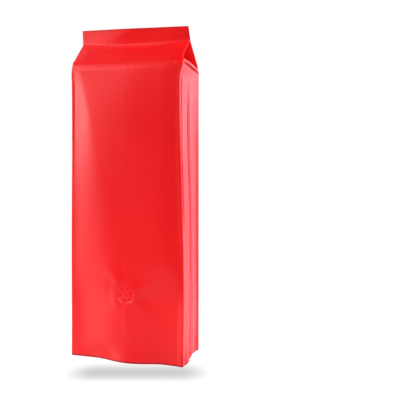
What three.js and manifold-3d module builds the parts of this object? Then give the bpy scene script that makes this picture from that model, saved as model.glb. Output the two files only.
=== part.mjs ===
// A side-gusset pouch with a one-way vent valve, filled, shut and standing on its flat base.
// Millimetres, +Z up. The front panel, with the valve, faces -Y.
import * as THREE from "three";
import { mergeVertices } from "three/addons/utils/BufferGeometryUtils.js";
import Module from "manifold-3d";

// The pouch as a whole
const bagHeight = 357; // base to the cut edge of the top seal
const gussetDepth = 62.6; // front corner creases to back corner creases
const shoulderHeight = 315; // where the panels break towards the seal
const shoulderRound = 8; // rounding, measured each way from the shoulder's sharp corner

// The flat seal along the top
const sealLength = 125;
const sealHeight = 15;
const sealThickness = 1;
const sealTaper = 1; // how far each end of the cut edge is drawn in
const sealLean = 4; // how far the cut edge nods forward
const sealFootRound = 3; // rounding where the slopes turn up into the seal

// Half widths of the panels, from the middle to a corner crease
const frontHalfAtBase = 65.2;
const frontHalfAtShoulder = 61;
const frontDrawFrom = 20; // heights between which the front corners draw in
const frontDrawTo = 300;
const backHalf = 62;
const footSkew = 2.5; // at the base the front panel's right corner stands forward, its left back
const footSkewFade = 140; // height at which the skew has died out

// Swelling of the panels between their creases
const belly = 7;
const ridgeCentre = 2; // near the base the swelling is a narrow ridge
const ridgeHalfWidth = 37;
const ridgeFadeFrom = 40; // heights between which the ridge spreads over the whole panel
const ridgeFadeTo = 120;
const bellyPowerLow = 2.6; // a rounded panel just above the ridge
const bellyPowerHigh = 6; // a squarer one below the shoulder
const gussetCrease = 2.8; // depth of each side's centre fold
const gussetCreasePower = 1.7; // how sharply the fold's flanks fall away from the corners

// The gable: each side folds in as a flat triangle between the sloping panels
const gussetFoldHeight = 316;
const gussetReach = gussetDepth / 2; // how far the triangle's tip reaches in below the seal
const gableOpenShare = 0.97; // share of the gap between the slopes that stays open
const notchOvershoot = 8; // how far the cut runs out past the side

// The lap seam down the back panel
const seamHalfWidth = 5;
const seamEdge = 0.6;
const seamRise = 0.5;

// The vent valve, set in the front panel
const valveRadius = 9.75;
const valveCentreX = 2.5;
const valveCentreZ = 74;
const valveSeatDepth = 1.5;
const valveRimWidth = 1.4;
const valveRimRise = 0.9;
const valveFaceRise = 0.2;
const ventCount = 6;
const ventRadius = 0.5;
const ventCircle = 6.7;
const ventDepth = 0.8;
const ventFirstAngle = THREE.MathUtils.degToRad(12);
const clearance = 0.3; // between the valve and its seat

// How finely each stretch is divided
const wallSteps = 16;
const roundSteps = 5;
const slopeSteps = 5;
const sealSteps = 3;
const frontSteps = 20;
const backSideSteps = 8;
const gussetSteps = 10;
const valveSides = 48;
const ventSides = 10;

const filmColour = 0xe0141a;
const filmRoughness = 0.45;

const { lerp, smoothstep } = THREE.MathUtils;
const wasm = await Module();
wasm.setup();

// Sizes that follow from those above
const cornerDepth = gussetDepth / 2;
const sealFoot = bagHeight - sealHeight;
const closing = cornerDepth - sealThickness / 2; // how far each panel travels in to the seal

function spaced(from, to, steps) {
  return Array.from({ length: steps + 1 }, (_, i) => lerp(from, to, i / steps));
}

function capFaces(ring) {
  const outline = ring.map((point) => new THREE.Vector2(point.x, point.y));
  return THREE.ShapeUtils.triangulateShape(outline, []);
}

// A closed body through rings of equal length, each running counter-clockwise seen from above.
function loft(rings) {
  const count = rings[0].length;
  const top = (rings.length - 1) * count;
  const index = [];
  for (let row = 0; row < top; row += count) {
    for (let column = 0; column < count; column++) {
      const next = (column + 1) % count;
      index.push(row + column, row + next, row + count + next);
      index.push(row + column, row + count + next, row + count + column);
    }
  }
  for (const [a, b, c] of capFaces(rings[0])) index.push(c, b, a);
  for (const [a, b, c] of capFaces(rings.at(-1))) index.push(top + a, top + b, top + c);
  return new THREE.BufferGeometry().setFromPoints(rings.flat()).setIndex(index);
}

// Shared corners are merged, and faces that have shrunk to a line are dropped.
function toSolid(geometry) {
  const bare = geometry.clone();
  bare.deleteAttribute("normal");
  bare.deleteAttribute("uv");
  const merged = mergeVertices(bare);
  const corners = merged.index.array;
  const faces = [];
  for (let i = 0; i < corners.length; i += 3) {
    const [a, b, c] = corners.slice(i, i + 3);
    if (a !== b && b !== c && c !== a) faces.push(a, b, c);
  }
  const vertProperties = new Float32Array(merged.attributes.position.array);
  const triVerts = new Uint32Array(faces);
  return new wasm.Manifold(new wasm.Mesh({ numProp: 3, vertProperties, triVerts }));
}

function toMesh(name, solid) {
  const { vertProperties, triVerts, numProp } = solid.getMesh();
  const geometry = new THREE.BufferGeometry();
  geometry.setAttribute("position", new THREE.BufferAttribute(vertProperties, numProp));
  geometry.setIndex(new THREE.BufferAttribute(triVerts, 1));
  geometry.computeVertexNormals();
  const material = new THREE.MeshStandardMaterial({
    color: filmColour,
    roughness: filmRoughness,
    metalness: 0,
  });
  const mesh = new THREE.Mesh(geometry, material);
  mesh.name = name;
  return mesh;
}

function frontHalf(z) {
  return lerp(frontHalfAtBase, frontHalfAtShoulder, smoothstep(z, frontDrawFrom, frontDrawTo));
}

// How far a panel stands out past its creases, at x and at a height: a ridge near the base that
// spreads upwards into a rounded panel.
function swelling(x, half, z) {
  const fromRidge = Math.min(1, Math.abs(x - ridgeCentre) / ridgeHalfWidth);
  const ridge = Math.cos((fromRidge * Math.PI) / 2) ** 2;
  const power = lerp(bellyPowerLow, bellyPowerHigh, smoothstep(z, ridgeFadeTo, shoulderHeight));
  const rounded = 1 - Math.abs(x / half) ** power;
  return belly * lerp(ridge, rounded, smoothstep(z, ridgeFadeFrom, ridgeFadeTo));
}

// How far forward the askew foot carries the front panel.
function skew(x, z) {
  return footSkew * (x / frontHalfAtBase) * (1 - smoothstep(z, 0, footSkewFade));
}

function seam(x) {
  return seamRise * (1 - smoothstep(Math.abs(x), seamHalfWidth - seamEdge, seamHalfWidth));
}

// The pouch seen from the side: how far its panels have closed in, against height.
function sideProfile() {
  const base = new THREE.Vector2(0, 0);
  const shoulder = new THREE.Vector2(0, shoulderHeight);
  const foot = new THREE.Vector2(closing, sealFoot);
  const cutEdge = new THREE.Vector2(closing, bagHeight);
  const slope = foot.clone().sub(shoulder).normalize();
  const wallEnd = new THREE.Vector2(0, shoulderHeight - shoulderRound);
  const slopeStart = shoulder.clone().addScaledVector(slope, shoulderRound);
  const slopeEnd = foot.clone().addScaledVector(slope, -sealFootRound);
  const sealStart = new THREE.Vector2(closing, sealFoot + sealFootRound);
  const stretches = [
    [new THREE.LineCurve(base, wallEnd), wallSteps],
    [new THREE.QuadraticBezierCurve(wallEnd, shoulder, slopeStart), roundSteps],
    [new THREE.LineCurve(slopeStart, slopeEnd), slopeSteps],
    [new THREE.QuadraticBezierCurve(slopeEnd, foot, sealStart), roundSteps],
    [new THREE.LineCurve(sealStart, cutEdge), sealSteps],
  ];
  const points = stretches.flatMap(([curve, steps]) => curve.getPoints(steps).slice(0, -1));
  return [...points, cutEdge].map(({ x, y }) => ({ closed: x / closing, z: y }));
}

// Places across the back panel, with the seam's edges among them.
function backStations() {
  const foot = seamHalfWidth / backHalf;
  const crest = foot - seamEdge / backHalf;
  return [
    ...spaced(1, foot, backSideSteps),
    ...spaced(crest, -crest, 2),
    ...spaced(-foot, -1, backSideSteps),
  ];
}

// The pouch's outline at one height: front panel, right side, back panel, left side.
function bagRing({ closed, z }) {
  const upSeal = Math.max(0, (z - sealFoot) / sealHeight);
  const sealHalf = sealLength / 2 - sealTaper * upSeal;
  const lean = sealLean * upSeal;
  const front = frontHalf(z);
  const depth = lerp(cornerDepth, sealThickness / 2, closed);
  const frontPoint = (across) => {
    const out = depth + (1 - closed) * swelling(across * front, front, z) + skew(across * front, z);
    return new THREE.Vector3(across * lerp(front, sealHalf, closed), -out - lean, z);
  };
  const backPoint = (across) => {
    const x = across * lerp(backHalf, sealHalf, closed);
    const out = depth + (1 - closed) * swelling(across * backHalf, backHalf, z) + seam(x);
    return new THREE.Vector3(x, out - lean, z);
  };
  const sidePoint = (side, along) => {
    const backShare = (along + 1) / 2;
    const fold = gussetCrease * (1 - Math.abs(along)) ** gussetCreasePower;
    const wall = lerp(front, backHalf, backShare) - fold;
    const y = along * depth - (1 - backShare) * skew(side * front, z) - lean;
    return new THREE.Vector3(side * lerp(wall, sealHalf, closed), y, z);
  };
  const betweenCreases = spaced(-1, 1, gussetSteps).slice(1, -1);
  return [
    ...spaced(-1, 1, frontSteps).map(frontPoint),
    ...betweenCreases.map((along) => sidePoint(1, along)),
    ...backStations().map(backPoint),
    ...betweenCreases.toReversed().map((along) => sidePoint(-1, along)),
  ];
}

// The open space over the folded-in triangle, between the two slopes, on one side.
function gableNotch(side, profile) {
  const outer = sealLength / 2 + notchOvershoot;
  const gableRows = profile.filter(({ z }) => z > gussetFoldHeight && z < sealFoot);
  const rows = [...gableRows, { closed: 1, z: sealFoot }];
  const rings = rows.map(({ closed, z }) => {
    const tucked = (z - gussetFoldHeight) / (sealFoot - gussetFoldHeight);
    const inner = sealLength / 2 - gussetReach * tucked;
    const half = closing * (1 - closed) * gableOpenShare;
    const [west, east] = side > 0 ? [inner, outer] : [-outer, -inner];
    return [
      new THREE.Vector3(west, -half, z),
      new THREE.Vector3(east, -half, z),
      new THREE.Vector3(east, half, z),
      new THREE.Vector3(west, half, z),
    ];
  });
  return toSolid(loft(rings));
}

// The front panel's depth at the valve's centre
const valveSwelling = swelling(valveCentreX, frontHalf(valveCentreZ), valveCentreZ);
const valveFaceY = -cornerDepth - valveSwelling - skew(valveCentreX, valveCentreZ);

function valveSeat() {
  const radius = valveRadius + clearance;
  const length = valveSeatDepth + belly;
  const middleY = valveFaceY + valveSeatDepth - length / 2;
  const seat = new THREE.CylinderGeometry(radius, radius, length, valveSides);
  return toSolid(seat.translate(valveCentreX, middleY, valveCentreZ));
}

function bagSolid() {
  const profile = sideProfile();
  return toSolid(loft(profile.map(bagRing)))
    .subtract(gableNotch(1, profile))
    .subtract(gableNotch(-1, profile))
    .subtract(valveSeat());
}

// A disc with a rounded rim, turned about Y, with small blind vents in its face.
function valveSolid() {
  const back = valveSeatDepth - clearance;
  const rimFoot = valveRadius - valveRimWidth;
  const profile = new THREE.Path();
  profile.moveTo(0, -valveFaceRise);
  profile.lineTo(rimFoot, -valveFaceRise);
  const rimPull = 2 * valveRimRise - valveFaceRise; // lifts the curve's crest to the rim's rise
  profile.quadraticCurveTo(valveRadius - valveRimWidth / 2, -rimPull, valveRadius, -valveFaceRise);
  profile.lineTo(valveRadius, back);
  profile.lineTo(0, back);
  let disc = toSolid(new THREE.LatheGeometry(profile.getPoints(roundSteps), valveSides));
  for (let i = 0; i < ventCount; i++) {
    const angle = ventFirstAngle + (i * 2 * Math.PI) / ventCount;
    const vent = new THREE.CylinderGeometry(ventRadius, ventRadius, 2 * ventDepth, ventSides);
    vent.translate(ventCircle * Math.cos(angle), -valveFaceRise, ventCircle * Math.sin(angle));
    disc = disc.subtract(toSolid(vent));
  }
  return disc;
}

const valve = toMesh("valve", valveSolid());
valve.position.set(valveCentreX, valveFaceY, valveCentreZ);

const pouch = new THREE.Group();
pouch.add(toMesh("bag", bagSolid()), valve);

// The origin is under the middle of the pouch, on its base.
const middle = new THREE.Box3().setFromObject(pouch).getCenter(new THREE.Vector3());
pouch.position.set(-middle.x, -middle.y, 0);

export default pouch;
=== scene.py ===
import bpy
import numpy as np
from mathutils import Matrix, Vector


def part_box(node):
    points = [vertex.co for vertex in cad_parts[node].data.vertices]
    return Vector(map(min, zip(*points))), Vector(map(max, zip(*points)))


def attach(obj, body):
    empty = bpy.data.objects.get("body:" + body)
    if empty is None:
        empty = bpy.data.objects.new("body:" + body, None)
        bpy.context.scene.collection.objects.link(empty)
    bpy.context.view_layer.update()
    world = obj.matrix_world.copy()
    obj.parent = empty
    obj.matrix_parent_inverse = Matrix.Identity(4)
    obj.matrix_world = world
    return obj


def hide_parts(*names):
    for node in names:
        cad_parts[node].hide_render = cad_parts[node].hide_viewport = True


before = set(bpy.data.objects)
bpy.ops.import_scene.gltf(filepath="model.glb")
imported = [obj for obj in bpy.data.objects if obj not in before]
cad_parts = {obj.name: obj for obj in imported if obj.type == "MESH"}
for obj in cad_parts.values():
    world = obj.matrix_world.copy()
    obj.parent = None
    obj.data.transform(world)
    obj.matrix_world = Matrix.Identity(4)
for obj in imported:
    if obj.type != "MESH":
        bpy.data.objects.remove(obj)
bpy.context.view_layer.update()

bag_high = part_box("bag")[1]
valve_low, valve_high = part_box("valve")

# Shapes are worked out in millimetres and scaled once, when a mesh is made. In the names of values a SPAN is
# where a step starts and ends, and a CHANGE is what something is before and after a step, then its span.
# An AT is a hump's middle and half width, and a MOUND is its height, middle and half width.
MM = 0.001

# The pouch as a whole: the part's sizes, with creases that wander a little more than the part's
BAG_HEIGHT = bag_high.z / MM
CORNER_DEPTH = 31.3
BELLY = 7.0
SHOULDER = 316.5
SHOULDER_ROUND = 7.5
FOOT_ROUND = 1.2
FRONT_HALF_BASE = 65.2
FRONT_HALF_SHOULDER = 61.0
BACK_HALF = 62.1

# The panels' edges: drawn in up the wall, rounded or flared at the shoulder
LEFT_DRAW = 5.3
LEFT_DRAW_TOP = 300
LEFT_DRAW_POWER = 1.5
LEFT_ROUND_MOUND = (0.7, 317, 11)
RIGHT_OUT = 0.6
RIGHT_DRAW = 3.7
RIGHT_DRAW_SPAN = (40, 285)
RIGHT_FLARE_MOUND = (2.8, 316, 14)
BACK_FLARE_MOUND = (0.3, 314, 9)

# The askew foot of the front panel
FOOT_SKEW = 2.5
FOOT_SKEW_SPAN = (0, 140)
FOOT_CORNER = 2.2
FOOT_CORNER_ACROSS_SPAN = (30, FRONT_HALF_BASE)
FOOT_CORNER_SPAN = (0, 90)

# The flat seal along the top
SEAL_HALF = 62.5
SEAL_HEIGHT = 14.6
SEAL_FOOT = BAG_HEIGHT - SEAL_HEIGHT
SEAL_HALF_THICKNESS = 0.5
SEAL_TAPER = 1.0
SEAL_LEAN = 4.0
SEAL_FOOT_ROUND = 2.4
CLOSING = CORNER_DEPTH - SEAL_HALF_THICKNESS

# The top folds of the sides, tilted, and the gable that folds in over them
FOLD = 316.8
FOLD_TILT = 4.0
FOLD_TILT_REACH = 24.0
FLANGE = 1.4
NOSE = 0.9

# The corner creases: how round they are, and how far past the sharp corner their curve is pulled
FRONT_ROUND_CHANGE = (1.0, 3.2, 110, 290)
BACK_ROUND = 4.8
CRISP_SPAN = (296, FOLD - 1)
CREASE_PINCH = 0.5

# The lap seam down the back
SEAM_HALF = 5.0
SEAM_EDGE = 0.6
SEAM_RISE = 0.5

# The valve, from its node's box
VALVE_X = (valve_low.x + valve_high.x) / 2 / MM
VALVE_Z = (valve_low.z + valve_high.z) / 2 / MM
VALVE_RADIUS = (valve_high.x - valve_low.x) / 2 / MM
VALVE_RIM_RISE = 0.9
VALVE_LIP = 0.2

# The part is centred front to back by its box, so its middle plane lies a little behind the origin.
MIDDLE_Y = bag_high.y / MM - (CORNER_DEPTH + BELLY + SEAM_RISE)
VALVE_FACE_OUT = MIDDLE_Y - valve_low.y / MM - VALVE_RIM_RISE

# How finely shapes are worked out, and how close points are that are one
FINE_STEPS = 6000
BEND_STEPS = 30
WELD = 1e-4


def smooth(value, low, high):
    """A cubic step: 0 up to low, 1 from high on."""
    share = np.clip((value - low) / (high - low), 0, 1)
    return share * share * (3 - 2 * share)


def fall(value, low, high):
    """The cubic step turned over: 1 up to low, 0 from high on."""
    return 1 - smooth(value, low, high)


def lerp(start, end, share):
    """The value a share of the way from start to end."""
    return start + (end - start) * share


def change(value, before, after, low, high):
    """What something is while a value goes from low to high: before, then after, with a cubic step."""
    return lerp(before, after, smooth(value, low, high))


def hump(value, centre, half_width):
    """A squared cosine: 1 at the centre, 0 from half_width away on."""
    share = np.clip(np.abs(value - centre) / half_width, 0, 1)
    return np.cos(share * np.pi / 2) ** 2


def mound(value, height, centre, half_width):
    """A hump of a given height."""
    return height * hump(value, centre, half_width)


def soft_min(first, second, blend):
    """The lower of two heights, with a parabola of the given blend height over the kink."""
    overlap = np.maximum(blend - np.abs(first - second), 0) / blend
    return np.minimum(first, second) - overlap * overlap * blend / 4


def soft_max(first, second, blend):
    """The higher of two heights, with the kink rounded."""
    return -soft_min(-first, -second, blend)


def graded(low, high, count, *crowds):
    """Stations from low to high, evenly spaced along the running sum of 1 plus a Gaussian at each crowd.

    A crowd is a place, a reach and a strength.
    """
    fine = np.linspace(low, high, FINE_STEPS)
    density = np.ones_like(fine)
    for place, reach, strength in crowds:
        density += strength * np.exp(-(((fine - place) / reach) ** 2))
    run = np.concatenate([[0], np.cumsum((density[1:] + density[:-1]) / 2)])
    return np.interp(np.linspace(0, run[-1], count), run, fine)


def points_of(x, y, z):
    """Points from three arrays of coordinates, each stretched to the common shape."""
    return np.stack(np.broadcast_arrays(x, y, z), axis=-1)


def bezier(start, corner, end, share):
    """A quadratic Bezier curve for each row: start and end are touched, the corner pulls."""
    share = share[None, :, None]
    pulled = 2 * share * (1 - share) * corner[:, None]
    return (1 - share) ** 2 * start[:, None] + pulled + share**2 * end[:, None]


def closing_profile():
    """The bag from the side: height against the share closed, up the wall, the slope and the seal.

    The shoulder and the seal's foot are quadratic Bezier curves between straight stretches.
    """
    share = np.linspace(0, 1, BEND_STEPS)
    up = np.array([0, 1])
    slope = np.array([CLOSING, SEAL_FOOT - SHOULDER])
    slope = slope / np.linalg.norm(slope)
    shoulder = np.array([[0, SHOULDER]])
    foot = np.array([[CLOSING, SEAL_FOOT]])
    shoulder_bend = bezier(shoulder - SHOULDER_ROUND * up, shoulder, shoulder + SHOULDER_ROUND * slope, share)
    foot_bend = bezier(foot - SEAL_FOOT_ROUND * slope, foot, foot + SEAL_FOOT_ROUND * up, share)
    run = np.concatenate([[[0, 0]], shoulder_bend[0], foot_bend[0], [[CLOSING, BAG_HEIGHT]]])
    return run[:, 1], run[:, 0] / CLOSING


PROFILE_HEIGHTS, PROFILE_SHARES = closing_profile()
MEETING_SHARE = (CORNER_DEPTH - FLANGE) / CLOSING
PLIES_MEET = np.interp(MEETING_SHARE, PROFILE_SHARES, PROFILE_HEIGHTS)


def closed(z):
    """Share of the way that the panels have closed in at a height."""
    return np.interp(z, PROFILE_HEIGHTS, PROFILE_SHARES)


def foot_inset(z):
    """How far the rounded foot draws the surface in: a quarter circle over the lowest millimetre."""
    up = np.clip(z / FOOT_ROUND, 0, 1)
    return FOOT_ROUND * (1 - np.sqrt(1 - (1 - up) ** 2))


def depth(z):
    """Distance of the corner creases from the middle plane."""
    return lerp(CORNER_DEPTH, SEAL_HALF_THICKNESS, closed(z)) - foot_inset(z)


def up_seal(z):
    """Share of the way up the seal."""
    return np.clip((z - SEAL_FOOT) / SEAL_HEIGHT, 0, 1)


def lean(z):
    """How far the seal nods forward."""
    return SEAL_LEAN * up_seal(z)


def front_half(z, hand):
    """Half width of the front panel on the left (hand -1) or the right (1), drawn in towards the shoulder.

    The left edge draws in as a power of the height and rounds off at the shoulder; the right one draws in
    with one cubic step and flares at the shoulder.
    """
    left = LEFT_DRAW * np.clip(1 - z / LEFT_DRAW_TOP, 0, 1) ** LEFT_DRAW_POWER
    left = left - mound(z, *LEFT_ROUND_MOUND)
    right = RIGHT_OUT + RIGHT_DRAW * fall(z, *RIGHT_DRAW_SPAN) + mound(z, *RIGHT_FLARE_MOUND)
    return FRONT_HALF_SHOULDER + np.where(np.asarray(hand) < 0, left, right)


def back_half(z):
    """Half width of the back panel: even, with a small flare at the shoulder."""
    return BACK_HALF + mound(z, *BACK_FLARE_MOUND)


def panel_half(face, z, hand):
    """Half width of the front (face -1) or the back panel (1) on one hand."""
    return front_half(z, hand) if face < 0 else back_half(z)


def edge(half, z):
    """A panel's edge: its half width on the wall, passing to the seal's half width over the gable."""
    gathered = np.clip(closed(z) / MEETING_SHARE, 0, 1)
    return lerp(half, SEAL_HALF - SEAL_TAPER * up_seal(z), gathered) - foot_inset(z)


def skew(x, z):
    """How far forward the askew foot carries the front panel: right forward, left back, right corner most.

    A turn in proportion to x and a cubic step out to the right corner, both of which fade up the wall.
    """
    turned = FOOT_SKEW * (x / FRONT_HALF_BASE) * fall(z, *FOOT_SKEW_SPAN)
    corner = FOOT_CORNER * smooth(x, *FOOT_CORNER_ACROSS_SPAN) * fall(z, *FOOT_CORNER_SPAN)
    return turned + corner


def tilted(rows, along):
    """Heights of rows near the sides' top fold, higher in front (along -1) and lower behind (along 1)."""
    return rows - FOLD_TILT * along * hump(rows, FOLD, FOLD_TILT_REACH)


def corner_round(z, face):
    """Rounding of the corner creases: even at the back (face 1), less low on the front, least at the fold."""
    wall_round = change(z, *FRONT_ROUND_CHANGE) if face < 0 else BACK_ROUND
    return lerp(wall_round, NOSE, smooth(z, *CRISP_SPAN))


# Slow waves of the film: height, length along and up, start, and how the turn of a panel shifts them
FILM_WAVES = (
    (0.20, 15, 33, 0, 1),
    (0.16, 27, -21, 0, 1.9),
    (0.10, 9, 47, 0.7, -1),
)
WAVES_START_SPAN = (0, 30)
WAVES_END_SPAN = (318, 330)
FRONT_TURN = 0.4
BACK_TURN = 2.3
SIDE_TURN = 4.0


def film_waves(along, z, turn):
    """Slow unevenness of the film: crossing sine waves, tenths of a millimetre high, none at the foot."""
    waves = 0
    for height, length, rise, start, shift in FILM_WAVES:
        waves = waves + height * np.sin(along / length + z / rise + start + shift * turn)
    return waves * smooth(z, *WAVES_START_SPAN)


# How the front panel stands out past its creases: flat facets with soft kinks, as filled film shows
FACET_SLOPE_CHANGE = (0.195, 0.30, 95, 275)
FACET_FADE = 0.06
FACET_FADE_SPAN = (277, 308)
FACET_MARGIN = 3.2
FACET_FOOT_BLEND = 1.4
CROWN_TOP = 14
CROWN_BEND_CHANGE = (0.34, 0.46, 250, 305)
CROWN_POWER_CHANGE = (7.0, 13.0, 120, SHOULDER)
CROWN_KINK_CHANGE = (3.5, 0.8, 170, 290)
SHOULDER_LEAN_CHANGE = (0.75, 0.15, -50, 50)
SHOULDER_LEAN_FOOT = 258
SHOULDER_LEAN_RUN = 56

# Near the base: planes that rise from a place across, with a slope, and the rounded ridge of the very foot
RIDGE_LEFT = (-53.0, 0.16)
RIDGE_MIDDLE = (-130.0, 0.05)
RIDGE_RIGHT = (47.0, -0.165)
RIDGE_LEFT_KINK = 0.8
RIDGE_RIGHT_KINK = 1.5
RIDGE_FOOT_BLEND = 1.2
RIDGE_SPAN = (60, 112)
FOOT_RIDGE_MOUND = (9.0, 4, 45)
FOOT_RIDGE_SPAN = (0, 22)


def left_crown(x, half, z):
    """The crown left of its top line: a parabola that leans back towards the shoulder, most at the left."""
    bend = change(z, *CROWN_BEND_CHANGE)
    parabola = 1 - bend * (np.minimum(x - CROWN_TOP, 0) / half) ** 2
    up_shoulder = np.clip((z - SHOULDER_LEAN_FOOT) / SHOULDER_LEAN_RUN, 0, 1)
    lean_back = change(x, *SHOULDER_LEAN_CHANGE) * up_shoulder**2
    return BELLY * parabola * (1 - lean_back)


def front_ridge(x):
    """The faceted ridge near the base: the lowest of three planes, and nowhere behind the creases."""
    left, middle, right = ((x - start) * slope for start, slope in (RIDGE_LEFT, RIDGE_MIDDLE, RIDGE_RIGHT))
    ridge = soft_min(soft_min(left, middle, RIDGE_LEFT_KINK), right, RIDGE_RIGHT_KINK)
    return soft_max(ridge, 0, RIDGE_FOOT_BLEND)


def front_crown(x, half, z):
    """How far the front panel stands out past its creases.

    On the upper part the lower of a tilted facet, which rises from the left crease and is steepest a little
    below the shoulder, and a crown that falls steeply to the right crease; near the base the faceted ridge;
    at the very foot a rounded ridge.
    """
    slope = change(z, *FACET_SLOPE_CHANGE) - FACET_FADE * smooth(z, *FACET_FADE_SPAN)
    facet = soft_max(slope * (x + half - FACET_MARGIN), 0, FACET_FOOT_BLEND)
    power = change(z, *CROWN_POWER_CHANGE)
    crown = left_crown(x, half, z) * (1 - (np.maximum(x, 0) / half) ** power)
    upper = soft_min(facet, crown, change(z, *CROWN_KINK_CHANGE))
    foot = mound(x, *FOOT_RIDGE_MOUND)
    lower = lerp(foot, front_ridge(x), smooth(z, *FOOT_RIDGE_SPAN))
    return lerp(lower, upper, smooth(z, *RIDGE_SPAN))


# How the back panel stands out past its creases
BACK_FACET_CHANGE = (40.0, 13.0, 110, 305)
BACK_FACET_KINK = 2.0
BACK_BEND = 0.16
BACK_CROWN_KINK = 1.6
BACK_FOOT_MOUND = (BELLY, 0, 44)
BACK_FOOT_SPAN = (40, 120)


def back_crown(x, half, z):
    """How far the back panel stands out: a parabola between two facets, over a rounded ridge at the foot."""
    width = change(z, *BACK_FACET_CHANGE)
    facets = soft_min(BELLY * (half + x) / width, BELLY * (half - x) / width, BACK_FACET_KINK)
    upper = soft_min(facets, BELLY * (1 - BACK_BEND * (x / half) ** 2), BACK_CROWN_KINK)
    foot = mound(x, *BACK_FOOT_MOUND)
    return lerp(foot, upper, smooth(z, *BACK_FOOT_SPAN))


# Puckers that run from the valve: direction seen from the front, height, spread at the far end, reach
VALVE_PUCKERS = (
    (124, 0.85, 15, 50),
    (-131, 0.85, 13, 32),
    (-92, 0.40, 8, 50),
    (27, 0.65, 11, 50),
    (-43, 0.55, 10, 44),
    (-14, -0.55, 9, 42),
)
PUCKER_HALF = 2.5
PUCKER_ROUND = 0.1
PUCKER_START_SPAN = (10, 17)
PUCKER_FADE_SHARE = 0.45


def valve_puckers(x, z):
    """Ridges and furrows that spread from the valve: each a rounded tent that widens and dies out."""
    out = np.zeros(np.broadcast_shapes(x.shape, z.shape))
    for degrees, height, spread, reach in VALVE_PUCKERS:
        angle = np.radians(degrees)
        along = (x - VALVE_X) * np.cos(angle) + (z - VALVE_Z) * np.sin(angle)
        across = (z - VALVE_Z) * np.cos(angle) - (x - VALVE_X) * np.sin(angle)
        width = PUCKER_HALF + spread * np.clip(along / reach, 0, 1)
        tent = np.clip(1 - np.hypot(across / width, PUCKER_ROUND) + PUCKER_ROUND, 0, 1)
        run = smooth(along, *PUCKER_START_SPAN) * fall(along, PUCKER_FADE_SHARE * reach, reach)
        out = out + height * tent * run
    return out


# The press line down the front panel
PRESS_LINE_CHANGE = (0.03, 0.06, 170, 240)
PRESS_LINE_AT = (2.2, 1.6)
PRESS_FOOT_SPAN = (6, 20)
PRESS_TOP_SPAN = (285, 310)

# Round dents below the shoulder: height, place across and up, half width, and how much narrower upwards
SHOULDER_DENTS = (
    (-0.14, 8.5, 310, 4.5, 1.2),
    (0.08, 4.5, 313, 4.0, 1.0),
)

# Marks of the gable and the seal, a height and a hump across and up: the flattened left end of the shoulder,
# the seal's crease, its soft bulge, and the nicks at the cut edge
NICK_HEIGHT = 0.22
NICK_UP_AT = (353.6, 1.4)
FRONT_MARKS = (
    (-1.6, (-61, 13), (331, 13)),
    (-0.14, (-29.4, 2.6), (346, 8)),
    (0.55, (-16, 15), (343, 5)),
    (NICK_HEIGHT, (-2, 1.6), NICK_UP_AT),
    (NICK_HEIGHT, (13, 2.4), NICK_UP_AT),
    (NICK_HEIGHT, (29, 1.8), NICK_UP_AT),
)

# The lip at the right front foot
CORNER_LIP_MOUND = (1.25, 66, 9)
CORNER_LIP_SPAN = (60, 120)


def front_relief(x, z):
    """Small forms of the front film: the press line, shoulder dents, marks, and a lip at the right foot.

    The dents are round humps, the marks humps across times humps up, and the others humps across that fade
    with the height.
    """
    press_line = change(z, *PRESS_LINE_CHANGE) * hump(x, *PRESS_LINE_AT)
    relief = press_line * smooth(z, *PRESS_FOOT_SPAN) * fall(z, *PRESS_TOP_SPAN)
    for height, dent_x, dent_z, half_width, squash in SHOULDER_DENTS:
        relief = relief + height * hump(np.hypot(x - dent_x, (z - dent_z) * squash), 0, half_width)
    for height, across_at, up_at in FRONT_MARKS:
        relief = relief + height * hump(x, *across_at) * hump(z, *up_at)
    return relief + mound(x, *CORNER_LIP_MOUND) * fall(z, *CORNER_LIP_SPAN)


# The film round the valve: how far out from the valve's edge each step reaches, and how deep the bed is
BED_LEVEL_SPAN = (VALVE_RADIUS, VALVE_RADIUS + 11)
BED_LIFT_SPAN = (VALVE_RADIUS, VALVE_RADIUS + 3.5)
BED_SINK_SPAN = (VALVE_RADIUS - 1.0, VALVE_RADIUS + 0.3)
BED_DEPTH = 3.4


def valve_bed(out, x, z):
    """The film round the valve: levelled to the valve's plane, lifted to its ring and sunk beneath it."""
    distance = np.hypot(x - VALVE_X, z - VALVE_Z)
    level = lerp(out, VALVE_FACE_OUT, fall(distance, *BED_LEVEL_SPAN))
    return level + VALVE_LIP * fall(distance, *BED_LIFT_SPAN) - BED_DEPTH * fall(distance, *BED_SINK_SPAN)


# Columns across the panels, the same number on both, closer together where the film bends sharply
PANEL_COLUMNS = 115
END_CROWDS = ((-1, 0.08, 0.8), (1, 0.08, 0.8))
FRONT_CROWDS = ((VALVE_X / FRONT_HALF_BASE, 0.18, 2.6), (-30 / SEAL_HALF, 0.05, 1.6))
BACK_CROWDS = ((SEAM_HALF / BACK_HALF, 0.02, 5), (-SEAM_HALF / BACK_HALF, 0.02, 5))
FRONT_STATIONS = graded(-1, 1, PANEL_COLUMNS, *FRONT_CROWDS, *END_CROWDS)
BACK_STATIONS = graded(1, -1, PANEL_COLUMNS, *BACK_CROWDS, *END_CROWDS)
PANEL_CORNER_SHARE = 0.2


def near_corner(across):
    """1 at either end of a panel, fading over a fifth of its half width."""
    return fall(1 - np.abs(across), 0, PANEL_CORNER_SHARE)


def front_panel(rows):
    """The front panel, left to right: corner depth plus crown, skew, relief and waves at each height."""
    across = FRONT_STATIONS[None, :]
    z = tilted(rows[:, None], -near_corner(across))
    half = front_half(z, across)
    panel_edge = edge(half, z)
    x = across * (panel_edge - corner_round(z, -1))
    swell = (1 - closed(z)) * front_crown(x / panel_edge * half, half, z)
    waves = film_waves(x, z, FRONT_TURN) * fall(z, *WAVES_END_SPAN)
    out = depth(z) + swell + skew(x, z) + front_relief(x, z) + waves
    return points_of(x, -valve_bed(out, x, z) - valve_puckers(x, z) - lean(z), z)


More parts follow.
